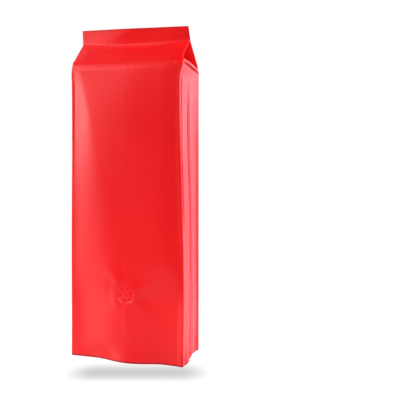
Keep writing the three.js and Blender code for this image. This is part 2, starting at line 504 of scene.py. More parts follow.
def back_panel(rows):
    """The back panel, right to left: corner depth plus crown, waves and the lap seam."""
    across = BACK_STATIONS[None, :]
    z = tilted(rows[:, None], near_corner(across))
    panel_edge = edge(back_half(z), z)
    x = across * (panel_edge - corner_round(z, 1))
    swell = (1 - closed(z)) * back_crown(x / panel_edge * BACK_HALF, BACK_HALF, z)
    seam = SEAM_RISE * fall(np.abs(x), SEAM_HALF - SEAM_EDGE, SEAM_HALF)
    waves = film_waves(x, z, BACK_TURN) * fall(z, *WAVES_END_SPAN)
    return points_of(x, depth(z) + swell + seam + waves - lean(z), z)


# The pleat of a side wall, with places along the wall from -1 at the front crease to 1 at the back crease
PLEAT_LINE_CHANGE = (-0.03, -0.2, 150, 260)
PLEAT_STRENGTH_CHANGE = (0.5, 1.0, 55, 110)
PLEAT_AHEAD = 1.0
PLEAT_RIPPLE_CHANGE = (0.17, 0.09, 60, 200)
PLEAT_VALLEY_CHANGE = (1.9, 1.35, 60, 200)
PLEAT_GROOVE_CHANGE = (2.3, 1.4, 60, 200)
PLEAT_END_SPAN = (262, 312)
PLEAT_STEP_AHEAD = 0.03
PLEAT_STEP_BEHIND = 0.05
PLEAT_LEAD = 0.06
PLEAT_RAMP = 0.17

# The bead and the groove under the top fold, each nearer to the fold at the back than in front
BEAD_RISE = 1.3
BEAD_HALF = 2.8
BEAD_DROPS = (1.6, 0.8)
GROOVE_DEPTH = 2.1
GROOVE_HALF = 1.4
GROOVE_DROPS = (4.4, 3.0)
INSIDE_POWER = 6

# The thin line behind the front crease, the forms of the foot, and how much of the waves a side shows
THIN_LINE_CHANGE = (1.8, 1.1, 190, 250)
THIN_LINE_AT = (-0.885, 0.07)
THIN_LINE_START_SPAN = (140, 180)
THIN_LINE_END_SPAN = (296, 308)
FOOT_BULGE_MOUND = (1.7, -0.52, 0.48)
FOOT_HOLLOW_MOUND = (0.4, 0.38, 0.44)
FOOT_FORMS_SPAN = (0, 45)
SIDE_WAVES = 0.7


def pleat_line(z):
    """Where the fold line of the pleat runs, as a share from the middle to the creases: forward higher up."""
    return change(z, *PLEAT_LINE_CHANGE)


def pleat_strength(z):
    """How deep the pleat's fold line is cut: half as deep near the foot."""
    return change(z, *PLEAT_STRENGTH_CHANGE)


def groove_line(share):
    """The row of the groove under the top fold: nearer to the fold from front (share 0) to back (1)."""
    return FOLD - lerp(*GROOVE_DROPS, share)


def pleat_depth(along, z):
    """How far the pleat sinks into a side wall.

    It sinks in as a square behind the front crease, with a sine ripple, to a narrow fold line, cut steeply
    and ramped out behind; from there a valley, a parabola, comes up to the back crease.
    """
    line = pleat_line(z)
    sunk = np.clip((along + 1) / (line + 1), 0, 1)
    ahead = PLEAT_AHEAD * sunk**2 + change(z, *PLEAT_RIPPLE_CHANGE) * np.sin(2 * np.pi * sunk)
    behind = change(z, *PLEAT_VALLEY_CHANGE) * (1 - np.clip(2 * along - 1, -1, 1) ** 2)
    valley = lerp(ahead, behind, smooth(along, line - PLEAT_STEP_AHEAD, line + PLEAT_STEP_BEHIND))
    cut = smooth(along, line - PLEAT_LEAD, line) * np.clip(1 - (along - line) / PLEAT_RAMP, 0, 1)
    return valley + change(z, *PLEAT_GROOVE_CHANGE) * pleat_strength(z) * cut


def wall(along, rows, hand):
    """A side wall from front crease (along -1) to back crease (along 1).

    The line between the creases less the pleat, with a bead and a groove under the top fold, a thin line
    behind the front crease, and a foot that bulges in front and is hollow behind: all humps.
    """
    z = tilted(rows, along)
    share = (along + 1) / 2
    pleat = pleat_depth(along, z) * fall(rows, *PLEAT_END_SPAN)
    inside = 1 - np.abs(along) ** INSIDE_POWER
    bead = BEAD_RISE * hump(rows, FOLD - lerp(*BEAD_DROPS, share), BEAD_HALF)
    bead = bead - GROOVE_DEPTH * hump(rows, groove_line(share), GROOVE_HALF)
    thin_line = change(rows, *THIN_LINE_CHANGE) * hump(along, *THIN_LINE_AT)
    thin_line = thin_line * smooth(rows, *THIN_LINE_START_SPAN) * fall(rows, *THIN_LINE_END_SPAN)
    foot = mound(along, *FOOT_BULGE_MOUND) - mound(along, *FOOT_HOLLOW_MOUND)
    foot = foot * fall(rows, *FOOT_FORMS_SPAN)
    waves = SIDE_WAVES * film_waves(along * CORNER_DEPTH, z, SIDE_TURN + hand)
    between = lerp(front_half(z, hand), back_half(z), share)
    x = between - pleat + inside * (bead + waves) - thin_line + foot
    x = lerp(x, SEAL_HALF, closed(z)) - foot_inset(z)
    y = along * depth(z) - (1 - share) * skew(hand * front_half(z, hand), z)
    return points_of(hand * x, y, z)


# Columns round the sides: the corner curves, the plies of the gable, and the pleat or triangle between them
CORNER_SHARES = np.linspace(0, 1, 6)[1:]
PLY_SHARES = np.linspace(0, 1, 9)[1:]
PLEAT_COLUMNS = 57
PLEAT_CROWDS = ((1.2 * np.mean(PLEAT_LINE_CHANGE[:2]), 0.18, 3.0), (-1, 0.1, 1), (1, 0.1, 1))
PLEAT_STATIONS = graded(-1, 1, PLEAT_COLUMNS, *PLEAT_CROWDS)
PLY_WIDTH_CHANGE = (5.0, 0.4, 250, FOLD)

# The gable's folded sides: how far they tuck in, and the dip and the fold line of the triangle
TUCK_REACH = 31.3
TRIANGLE_DIP = 0.8
TRIANGLE_DIP_HALF = 0.5
TRIANGLE_LINE = 0.3
TRIANGLE_LINE_HALF = 0.06
NOSE_PULL = 0.1
NOSE_END_SPAN = (PLIES_MEET, PLIES_MEET + 2)


def inner_ply(z):
    """Distance of the gable's folded-in plies from the middle plane: a flange inside the panels."""
    return np.maximum(depth(z) - FLANGE, 0)


def nose(rows, hand, face, panel_end):
    """The rounded edge of a flange or of the seal, a Bezier curve from a panel's end round to its inner ply.

    face is -1 for the front and 1 for the back.
    """
    z = tilted(rows, face)
    outer = edge(panel_half(face, z, hand), z)
    inner = inner_ply(z)
    drawn_in = NOSE * fall(z, *NOSE_END_SPAN)
    tip = points_of(hand * (outer + NOSE_PULL), face * (depth(z) + inner) / 2 - lean(z), z)
    turned = points_of(hand * (outer - drawn_in), face * inner - lean(z), z)
    return bezier(panel_end, tip, turned, CORNER_SHARES)


def crease(rows, hand, face, panel_end, start):
    """A corner crease on the wall: a Bezier curve from a panel's end over the sharp corner to the side."""
    z = tilted(rows, face)
    half = panel_half(face, z, hand)
    forward = skew(hand * half, z) if face < 0 else 0
    pinch = CREASE_PINCH * corner_round(z, face)
    corner = points_of(hand * (edge(half, z) + pinch), face * (depth(z) + forward + pinch), z)
    return bezier(panel_end, corner, start, CORNER_SHARES)


def tucked(rows, hand):
    """Gable rows of one side: the front ply going in, the folded triangle across, the back ply coming out.

    The plies are straight from the nose to the tuck's reach, and the triangle's dip is a hump times a sine.
    """
    rows = rows[:, None]
    tuck = np.clip((rows - FOLD) / (PLIES_MEET - FOLD), 0, 1)
    reach = lerp(NOSE, TUCK_REACH, tuck)

    def ply(face, shares):
        z = tilted(rows, face)
        x = edge(panel_half(face, z, hand), z) - lerp(NOSE, reach, shares[None, :])
        return points_of(hand * x, face * inner_ply(z) - lean(z), z)

    across = PLEAT_STATIONS[None, 1:]
    z = tilted(rows, across)
    outer = lerp(edge(front_half(z, hand), z), edge(back_half(z), z), (across + 1) / 2)
    dip = TRIANGLE_DIP * hump(across, 0, TRIANGLE_DIP_HALF) * np.sin(np.pi * tuck)
    dip = dip + TRIANGLE_LINE * hump(across, 0, TRIANGLE_LINE_HALF) * (1 - tuck)
    triangle = points_of(hand * (outer - reach - dip), across * inner_ply(z) - lean(z), z)
    back_shares = np.concatenate([PLY_SHARES[::-1][1:], [0.0]])
    return np.concatenate([ply(-1, PLY_SHARES), triangle, ply(1, back_shares)], axis=1)


def side(rows, hand, front_end, back_end):
    """One side from its front crease to its back crease, below the plies' meeting.

    Wall rows and gable rows have the same columns: corner, ply, pleat or triangle, ply, corner.
    """
    column = rows[:, None]
    ply_share = change(column, *PLY_WIDTH_CHANGE) / CORNER_DEPTH
    front_turn = corner_round(column, -1) / CORNER_DEPTH - 1
    back_turn = 1 - corner_round(column, 1) / CORNER_DEPTH
    front_inner = front_turn + ply_share
    back_inner = back_turn - ply_share
    front_ply = lerp(front_turn, front_inner, PLY_SHARES[None, :])
    middle = lerp(front_inner, back_inner, (PLEAT_STATIONS[None, 1:] + 1) / 2)
    back_ply = lerp(back_turn, back_inner, PLY_SHARES[None, ::-1])[:, 1:]
    walls = wall(np.concatenate([front_ply, middle, back_ply, back_turn], axis=1), column, hand)
    front_start = wall(front_turn, column, hand)[:, 0]
    front_crease = crease(rows, hand, -1, front_end, front_start)
    back_crease = crease(rows, hand, 1, back_end, walls[:, -1])[:, ::-1][:, 1:]
    on_wall = np.concatenate([front_crease, walls, back_crease], axis=1)
    front_nose = nose(rows, hand, -1, front_end)
    back_nose = nose(rows, hand, 1, back_end)[:, ::-1][:, 1:]
    on_gable = np.concatenate([front_nose, tucked(rows, hand), back_nose], axis=1)
    return np.where((rows > FOLD)[:, None, None], on_gable, on_wall)


def seal_end(rows, hand, front_end, back_end):
    """The rounded end of the seal, front to back."""
    back = nose(rows, hand, 1, back_end)[:, ::-1][:, 1:]
    return np.concatenate([nose(rows, hand, -1, front_end), back], axis=1)


def ring_of(rows, end):
    """A closed belt of columns, counter-clockwise from above: front, right end, back, left end."""
    front = front_panel(rows)
    back = back_panel(rows)
    right = end(rows, 1, front[:, -1], back[:, 0])
    left = end(rows, -1, front[:, 0], back[:, -1])[:, ::-1]
    return [front, right, back, left]


# The bends of the seal: its bowed foot, its left part turned back at a slanted line, a sway and a tilt
SEAL_BOW = 2.5
SEAL_BOW_AT = (SEAL_FOOT, 13)
BEND_LINES = (-36, 0)
BEND_BLEND = 4.0
BEND_SPAN = (332, 346)
BEND_BACK = 0.065
BEND_DRAW = 0.02
SWAY = 0.35
SWAY_LENGTH = 13
SWAY_START = 0.3
SWAY_SPAN = (338, 350)
DROP_MIDDLE = 0.20
DROP_RIGHT = 0.65
DROP_SPAN = (338, 352)


def seal_bow(x):
    """How far the seal's foot sags below its ends: a parabola."""
    return SEAL_BOW * (1 - (x / SEAL_HALF) ** 2)


def seal_shift(points):
    """Bends shared by both faces of the gable and the seal.

    The foot is bowed, the left part is turned back about a line that slants from foot to top, a sine sways
    the seal to and fro, and its top drops in proportion to x.
    """
    x, y, z = points[..., 0], points[..., 1], points[..., 2]
    bow = seal_bow(x) * hump(z, *SEAL_BOW_AT)
    turned = soft_max(lerp(*BEND_LINES, up_seal(z)) - x, 0, BEND_BLEND) * smooth(z, *BEND_SPAN)
    sway = SWAY * np.sin(x / SWAY_LENGTH + SWAY_START) * smooth(z, *SWAY_SPAN)
    drop = (DROP_MIDDLE + DROP_RIGHT * x / SEAL_HALF) * smooth(z, *DROP_SPAN)
    return np.stack([x - BEND_DRAW * turned, y + BEND_BACK * turned + sway, z - bow - drop], axis=-1)


# The underside: how far it lies off the floor, and the bottom seal's strip and the diagonal folds in it
BASE_LIFT = 1.6
BASE_RIM_SPAN = (0, 0.06)
STRIP_SPAN = (9.0, 10.0)
STRIP_DROP = 0.7
DIAGONAL_AT = (SEAL_HALF, 2.5)
DIAGONAL_DROP = 0.5


def base_patch(front, right, back, left):
    """The underside, a Coons patch between the four stretches of the foot.

    Inside the rim it lies a little off the floor, with the flat strip of the bottom seal across it and the
    diagonal folds of the sides running in from the corners.
    """
    back = back[::-1]
    left = left[::-1]
    u = np.linspace(0, 1, len(front))[:, None, None]
    v = np.linspace(0, 1, len(right))[None, :, None]
    ruled = lerp(front[:, None], back[:, None], v) + lerp(left[None], right[None], u)
    patch = ruled - lerp(lerp(front[0], front[-1], u), lerp(back[0], back[-1], u), v)
    x, y = patch[..., 0], patch[..., 1]
    rim = np.minimum(np.minimum(u, 1 - u), np.minimum(v, 1 - v))[..., 0]
    strip = fall(np.abs(y), *STRIP_SPAN)
    diagonal = hump(np.abs(x) + np.abs(y), *DIAGONAL_AT)
    lift = BASE_LIFT - STRIP_DROP * strip - DIAGONAL_DROP * diagonal * (1 - strip)
    patch[..., 2] += lift * smooth(rim, *BASE_RIM_SPAN)
    return patch


def cut_edge(front, right, back, left):
    """The cut edge on top of the seal: strips straight across from front to back, closed round the ends."""
    half_right = len(right) // 2
    half_left = len(left) // 2
    front_run = np.concatenate([left[half_left:], front, right[: half_right + 1]])
    back_run = np.concatenate([left[: half_left + 1][::-1], back[::-1], right[half_right:][::-1]])
    return np.stack([front_run, back_run])


def grid_quads(grid, wrap, first=0):
    """Quads between neighbouring rows and columns of a grid of points, round to the start if wrapped.

    Points are numbered row by row, from first on.
    """
    rows, columns = grid.shape[:2]
    place = np.arange(first, first + rows * columns).reshape(rows, columns)
    if wrap:
        place = np.concatenate([place, place[:, :1]], axis=1)
    corners = place[:-1, :-1], place[:-1, 1:], place[1:, 1:], place[1:, :-1]
    return np.stack(corners, axis=-1).reshape(-1, 4)


def weld(points, quads):
    """Merges points at the same place; quads that lose one corner become triangles, and lines are dropped."""
    keys = np.round(points / WELD).astype(np.int64)
    _, first, place = np.unique(keys, axis=0, return_index=True, return_inverse=True)
    quads = place.reshape(-1)[quads]
    repeats = quads == np.roll(quads, -1, axis=1)
    opposite = (quads[:, 0] == quads[:, 2]) | (quads[:, 1] == quads[:, 3])
    whole = quads[~repeats.any(axis=1) & ~opposite]
    lost_one = (repeats.sum(axis=1) == 1) & ~opposite
    triangles = quads[lost_one][~repeats[lost_one]].reshape(-1, 3)
    return points[first], whole, triangles


def mesh_piece(name, points, quads, triangles, rounds_to=40, shares=None):
    """A piece from points in millimetres: smooth, with edges sharper than rounds_to degrees kept crisp.

    shares names the values that the points carry, and gives the function of the points for each.
    """
    mesh = bpy.data.meshes.new(name)
    mesh.from_pydata((points * MM).tolist(), [], quads.tolist() + triangles.tolist())
    for label, share_of in (shares or {}).items():
        layer = mesh.attributes.new(label, "FLOAT", "POINT")
        layer.data.foreach_set("value", share_of(points).astype(np.float32))
    mesh.shade_smooth()
    mesh.set_sharp_from_angle(angle=np.radians(rounds_to))
    mesh.validate()
    piece = bpy.data.objects.new(name, mesh)
    bpy.context.scene.collection.objects.link(piece)
    return piece


def disc_piece(name, grid, rounds_to=40, shares=None):
    """A piece from a polar grid whose rings run outwards, closed round and welded in the middle."""
    points, whole, triangles = weld(grid.reshape(-1, 3), grid_quads(grid, True))
    return mesh_piece(name, points, whole[:, ::-1], triangles[:, ::-1], rounds_to, shares)


# Where the film is on a side wall: how far out, and how far in from the corner creases
SIDE_OUT_SPAN = (52, 56)
SIDE_IN_SPAN = (0.8, 2.2)

# Painted highlights and paleness: a painted highlight along the right front crease and along the seal's foot,
# paleness of the stretched top folds with a painted highlight on their bead, and painted light inside the
# tucked gable; and how strong each is
CORNER_HIGHLIGHT = 0.7
CORNER_HIGHLIGHT_HALF = 2.0
FOLD_PALE_AND_HIGHLIGHT_DROP = 1.0
FOLD_PALE_AND_HIGHLIGHT_HALF = 2.4
SEAL_FOOT_HIGHLIGHT_CHANGE = (0.5, 1.0, -60, -20)
SEAL_FOOT_HIGHLIGHT_END_SPAN = (20, 56)
SEAL_FOOT_HIGHLIGHT_HALF = 2.2
TUCK_PAINTED_LIGHT = 0.4
TUCK_PAINTED_LIGHT_UP_SPAN = (2, 5)
TUCK_PAINTED_LIGHT_IN_SPAN = (0.6, 1.2)

# Where the film lies in its own shadow, and how dark
DARK_GROOVE = 0.12
DARK_GROOVE_HALF = 1.2
DARK_PLEAT = 0.5
DARK_PLEAT_BACK = 1.0
DARK_PLEAT_HALF = 2.0
DARK_PLEAT_END_SPAN = (262, 300)
DARK_RIM = 1.4
DARK_RIM_SPAN = (1.0, 3.0)
DARK_EDGE = 0.5
DARK_CUT_SPAN = (BAG_HEIGHT - 1.8, BAG_HEIGHT - 0.9)
DARK_END_SPAN = (SEAL_HALF - 2.0, SEAL_HALF - 1.2)
DARK_END_FOOT_SPAN = (SEAL_FOOT, SEAL_FOOT + 2)


def on_side(points):
    """1 on the side walls, 0 on the panels and within a millimetre of the corner creases."""
    inside = depth(points[:, 2]) - np.abs(points[:, 1] - MIDDLE_Y)
    return smooth(np.abs(points[:, 0]), *SIDE_OUT_SPAN) * smooth(inside, *SIDE_IN_SPAN)


def highlight_and_fold_share(points):
    """Painted highlight and paleness near the folds: the most of humps and steps, each with its own strength.

    They are a painted highlight on the right front crease and along the seal's foot, paleness of the
    stretched top folds with a painted highlight on their bead, and painted light inside the tucked gable.
    """
    x, y, z = points[:, 0], points[:, 1] - MIDDLE_Y, points[:, 2]
    fold_line = FOLD - FOLD_PALE_AND_HIGHLIGHT_DROP - FOLD_TILT * np.clip(y / CORNER_DEPTH, -1, 1)
    # painted highlight along the right front crease only
    corner = hump(np.hypot(x - edge(front_half(z, 1), z), y + depth(z)), 0, CORNER_HIGHLIGHT_HALF)
    # paleness of the stretched top folds, with a painted highlight on their bead
    top_fold_pale_and_highlight = hump(z, fold_line, FOLD_PALE_AND_HIGHLIGHT_HALF) * on_side(points)
    # painted highlight along the seal's foot, strongest on the left and in the middle
    foot = hump(z, SEAL_FOOT - seal_bow(x), SEAL_FOOT_HIGHLIGHT_HALF) * fall(x, *SEAL_FOOT_HIGHLIGHT_END_SPAN)
    seal_foot_highlight = change(x, *SEAL_FOOT_HIGHLIGHT_CHANGE)
    # painted light inside the tucked gable, lightening where it lies in shade
    tuck_painted_light = smooth(z - fold_line, *TUCK_PAINTED_LIGHT_UP_SPAN) * smooth(depth(z) - np.abs(y), *TUCK_PAINTED_LIGHT_IN_SPAN)
    return np.maximum.reduce([CORNER_HIGHLIGHT * corner, top_fold_pale_and_highlight, seal_foot_highlight * foot, TUCK_PAINTED_LIGHT * tuck_painted_light])


def shade_share(points):
    """Where the film lies in its own shadow: the most of humps and steps, each with its own darkness.

    They lie in the groove under the top fold and in the pleat, on the rim of the foot, along the cut edge
    and on the seal's ends.
    """
    x, y, z = np.abs(points[:, 0]), points[:, 1] - MIDDLE_Y, points[:, 2]
    along = np.clip(y / CORNER_DEPTH, -1, 1)
    groove = hump(z, groove_line((along + 1) / 2) - FOLD_TILT * along, DARK_GROOVE_HALF) * on_side(points)
    pleat = hump(y, pleat_line(z) * CORNER_DEPTH + DARK_PLEAT_BACK, DARK_PLEAT_HALF) * on_side(points)
    pleat = pleat_strength(z) * pleat * fall(z, *DARK_PLEAT_END_SPAN)
    rim = fall(z, *DARK_RIM_SPAN)
    ends = smooth(x, *DARK_END_SPAN) * smooth(z, *DARK_END_FOOT_SPAN)
    edges = np.maximum(smooth(z, *DARK_CUT_SPAN), ends)
    return np.maximum.reduce([DARK_GROOVE * groove, DARK_PLEAT * pleat, DARK_RIM * rim, DARK_EDGE * edges])


# Rows up the film, closer together where it bends sharply
WALL_ROWS = graded(0, FOLD, 180, (0, 2.0, 5), (VALVE_Z, 13, 2.4), (FOLD, 10, 3.2))
GABLE_ROWS = graded(FOLD, PLIES_MEET, 30, (FOLD, 2.5, 2), (PLIES_MEET, 3, 1.5))[1:]
SEAL_ROWS = graded(PLIES_MEET, BAG_HEIGHT, 30, (PLIES_MEET, 2.5, 1.5), (BAG_HEIGHT, 2, 1))


def film_piece():
    """The film of the bag: a belt up to where the plies meet, a belt for the seal, the base and the cut."""
    stretches = ring_of(np.concatenate([WALL_ROWS, GABLE_ROWS]), side)
    seal_stretches = ring_of(SEAL_ROWS, seal_end)
    front, right, back, left = (stretch[0] for stretch in stretches)
    right = np.concatenate([front[-1:], right, back[:1]])
    left = np.concatenate([back[-1:], left, front[:1]])
    patches = [
        (np.concatenate(stretches, axis=1), True),
        (np.concatenate(seal_stretches, axis=1), True),
        (base_patch(front, right, back, left), False),
        (cut_edge(*(stretch[-1] for stretch in seal_stretches)), False),
    ]
    quads = []
    count = 0
    for patch, wrap in patches:
        quads.append(grid_quads(patch, wrap, count))
        count += patch.shape[0] * patch.shape[1]
    points = np.concatenate([patch.reshape(-1, 3) for patch, _ in patches])
    points = seal_shift(points) + np.array([0, MIDDLE_Y, 0])
    points, whole, triangles = weld(points, np.concatenate(quads))
    # crease carries painted highlights and the paleness of folds; shade carries painted shade
    shares = {"crease": highlight_and_fold_share, "shade": shade_share}
    return mesh_piece("bag_film", points, whole, triangles, shares=shares)


# The moulding of the valve: a sunk, slanted face, a wall up to a welded ring, a gutter and the vents
VALVE_SPOKES = 180
VALVE_RINGS = 60
VALVE_ROUNDS_TO = 60
VALVE_PROUD = 0.06
VALVE_SUNK = 0.75
VALVE_SLANT_UP = 0.45
VALVE_SLANT_ACROSS = 0.4
VALVE_WALL = 1.5
VALVE_WALL_TOP = VALVE_RADIUS + 0.2
VALVE_RING = VALVE_RADIUS + 1.4
VALVE_EDGE_DIP = 0.16
VALVE_GUTTER_MOUND = (0.32, VALVE_RADIUS - 1.5, 1.0)
VALVE_BEAD_MOUND = (0.10, 2.6, 0.5)
VALVE_DOME_MOUND = (0.12, 0, 6)
VALVE_BACK = 2.8
VENT_COUNT = 6
VENT_CIRCLE = 6.9
VENT_RADIUS = 0.85
VENT_DEPTH = 2.0
VENT_FIRST = 0.21
VALVE_CROWDS = ((VENT_CIRCLE, 0.9, 2.5), (VALVE_RADIUS - 0.4, 1.0, 2.5))

# Painted highlights on arcs of the valve's rim, lower left and lower right, as mounds by the angle in degrees
RIM_HIGHLIGHT_ARC_MOUNDS = ((2.2, 228, 36), (0.2, 298, 20))
RIM_HIGHLIGHT_AT = (VALVE_RADIUS - 0.2, 1.8)


def rim_highlight_share(points):
    """Painted highlight on the valve's rim: arcs along its foot, humps by the angle and by the radius."""
    across, up = points[:, 0] - VALVE_X, points[:, 2] - VALVE_Z
    degrees = np.degrees(np.arctan2(up, across)) % 360
    arcs = sum(mound(degrees, *arc) for arc in RIM_HIGHLIGHT_ARC_MOUNDS)
    return arcs * hump(np.hypot(across, up), *RIM_HIGHLIGHT_AT)


def vent_pits(radii, angle):
    """How deep the small pits of the vents are: a cubic step about each of the points on their circle."""
    vent = (VENT_FIRST + np.arange(VENT_COUNT) * 2 * np.pi / VENT_COUNT)[:, None, None]
    across = radii * np.cos(angle) - VENT_CIRCLE * np.cos(vent)
    up = radii * np.sin(angle) - VENT_CIRCLE * np.sin(vent)
    return VENT_DEPTH * fall(np.hypot(across, up), 0.5 * VENT_RADIUS, VENT_RADIUS).sum(axis=0)


def valve_piece():
    """The vent valve, a polar grid: rings of points from the middle out to its edge and round to a flat back.

    Its face is a slanted plane, pressed in at the foot and level at the top, with a straight wall up to a
    welded ring whose edge dips into the film, less a gutter along the foot and a small pit at each vent.
    """
    face_radii = graded(0, VALVE_RING, VALVE_RINGS, *VALVE_CROWDS)
    radii = np.concatenate([face_radii, [VALVE_RING, 0]])[:, None]
    angle = np.linspace(0, 2 * np.pi, VALVE_SPOKES, endpoint=False)[None, :]
    up_wall = np.clip((radii - VALVE_WALL_TOP + VALVE_WALL) / VALVE_WALL, 0, 1)
    slant = (VALVE_SLANT_UP * np.sin(angle) + VALVE_SLANT_ACROSS * np.cos(angle)) * radii / VALVE_RADIUS
    moulding = mound(radii, *VALVE_BEAD_MOUND) + mound(radii, *VALVE_DOME_MOUND)
    gutter = mound(radii, *VALVE_GUTTER_MOUND) * (0.5 - 0.5 * np.sin(angle))
    rise = VALVE_LIP + VALVE_PROUD - VALVE_SUNK * (0.5 - slant) * (1 - up_wall) + moulding - gutter
    rise = rise - VALVE_EDGE_DIP * smooth(radii, VALVE_WALL_TOP, VALVE_RING) - vent_pits(radii, angle)
    rise[-2:] = -VALVE_BACK
    x = VALVE_X + radii * np.cos(angle)
    y = MIDDLE_Y - VALVE_FACE_OUT - rise
    z = VALVE_Z + radii * np.sin(angle)
    # The valve's crease attribute carries only the painted highlight on its rim.
    return disc_piece("vent_valve", points_of(x, y, z), VALVE_ROUNDS_TO, {"crease": rim_highlight_share})


class Socket:
    """An output of a shader node; sums and products with numbers and other outputs add Math nodes."""

    def __init__(self, output):
        self.output = output

    @classmethod
    def node(cls, tree, kind, settings=None, inputs=None, output=0):
        """A new node: its settings first, then a value or a link for each input. Gives one output back."""
        made = tree.nodes.new(kind)
        for name, value in (settings or {}).items():
            setattr(made, name, value)
        for name, value in (inputs or {}).items():
            if isinstance(value, Socket):
                tree.links.new(value.output, made.inputs[name])
            else:
                made.inputs[name].default_value = value
        return cls(made.outputs[output]) if len(made.outputs) else None

    def math(self, operation, first, second):
        """A Math node on two values."""
        tree = self.output.id_data
        return Socket.node(tree, "ShaderNodeMath", {"operation": operation}, {0: first, 1: second})

    def __abs__(self):
        return self.math("ABSOLUTE", self, 0)

    def __add__(self, other):
        return self.math("ADD", self, other)

    __radd__ = __add__

    def __sub__(self, other):
        return self.math("SUBTRACT", self, other)

    def __rsub__(self, other):
        return self.math("SUBTRACT", other, self)

    def __mul__(self, other):
        return self.math("MULTIPLY", self, other)

    __rmul__ = __mul__


def blank_material(name):
    """A new material and its node tree, with no nodes in it."""
    material = bpy.data.materials.new(name)
    material.use_nodes = True
    material.node_tree.nodes.clear()
    return material, material.node_tree


def mixed(tree, share, first, second):
    """A colour a share of the way from the first to the second."""
    inputs = {0: share, 6: first, 7: second}
    return Socket.node(tree, "ShaderNodeMix", {"data_type": "RGBA"}, inputs, output=2)


FILM_RED = (0.890, 0.0098, 0.0128, 1)
FILM_DEEP_RED = (0.850, 0.0080, 0.0105, 1)
HIGHLIGHT_AND_FOLD_RED = (0.930, 0.0650, 0.0700, 1)
SHADE_RED = (0.420, 0.0040, 0.0060, 1)
FILM_ROUGHNESS = 0.34
FILM_GRAIN = 0.012
VALVE_ROUGHNESS = 0.36
VALVE_GRAIN = 0.010
FILM_SPECULAR = 0.5
HIGHLIGHT_AND_FOLD_PALING = 0.6
SHADE_DEPTH = 0.7
CLOUD_ROUGHNESS = 0.10
FOLD_POLISH = 0.06
CRINKLE_SHARE = 2.2

# Noises of the film: scale, in turns to the metre, and detail
CLOUD_NOISE = (16, 3)
GRAIN_NOISE = (2600, 2)
CRINKLE_NOISE = (170, 2)


def film_material(name, roughness, grain_height):
    """Matte printed laminate: a red that clouds a little, paler at the folds and lighter with painted
    highlights, darker with painted shade, over a fine satin grain.
    """
    material, tree = blank_material(name)
    place = Socket.node(tree, "ShaderNodeTexCoord", output="Object")
    # The crease attribute holds painted highlights, painted light and the paleness of folds; the shade
    # attribute holds painted shade.
    fold = Socket.node(tree, "ShaderNodeAttribute", {"attribute_name": "crease"}, output="Fac")
    shade = Socket.node(tree, "ShaderNodeAttribute", {"attribute_name": "shade"}, output="Fac")

    def noise(scale, detail):
        inputs = {"Vector": place, "Scale": scale, "Detail": detail}
        return Socket.node(tree, "ShaderNodeTexNoise", inputs=inputs)

    cloud = noise(*CLOUD_NOISE)
    clouded = mixed(tree, cloud, FILM_DEEP_RED, FILM_RED)
    paled_and_highlit = mixed(tree, fold * HIGHLIGHT_AND_FOLD_PALING, clouded, HIGHLIGHT_AND_FOLD_RED)
    colour = mixed(tree, shade * SHADE_DEPTH, paled_and_highlit, SHADE_RED)
    height = noise(*GRAIN_NOISE) * grain_height + noise(*CRINKLE_NOISE) * (CRINKLE_SHARE * grain_height)
    bump = {"Height": height, "Strength": 1.0, "Distance": MM}
    surface = Socket.node(
        tree,
        "ShaderNodeBsdfPrincipled",
        inputs={
            "Base Color": colour,
            "Roughness": roughness + (cloud - 0.5) * CLOUD_ROUGHNESS - fold * FOLD_POLISH,
            "Specular IOR Level": FILM_SPECULAR,
            "Normal": Socket.node(tree, "ShaderNodeBump", inputs=bump, output="Normal"),
        },
    )
    Socket.node(tree, "ShaderNodeOutputMaterial", inputs={"Surface": surface})
    return material


film = film_piece()
film.data.materials.append(film_material("matte_red_film", FILM_ROUGHNESS, FILM_GRAIN))
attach(film, "root")
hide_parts("bag")

valve = valve_piece()
valve.data.materials.append(film_material("pressed_valve_film", VALVE_ROUGHNESS, VALVE_GRAIN))
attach(valve, "root")
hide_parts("valve")


# The set, in metres from here on but for the floor's disc: a round white floor with a soft shadow on it
FLOOR_RADIUS = 280.0
FLOOR_RINGS = np.array([0.0, 0.5, 1.0])
FLOOR_SPOKES = 96
FLOOR_DROP = 0.02
FLOOR_WHITE = (0.10, 0.10, 0.10, 1)
FLOOR_SHADE = (0.04, 0.04, 0.04, 1)
FLOOR_ROUGHNESS = 0.9
GLOW_WHITE = (1, 1, 1, 1)
GLOW_SHADE = (0.575, 0.575, 0.575, 1)
FLOOR_GLOW = 1.0
SHADOW_MIDDLE = (0.0262, -0.0640)
SHADOW_TURN = np.radians(16.5)
SHADOW_LENGTH_SPAN = (0.042, 0.088)
SHADOW_WIDTH_SPAN = (0.0, 0.044)


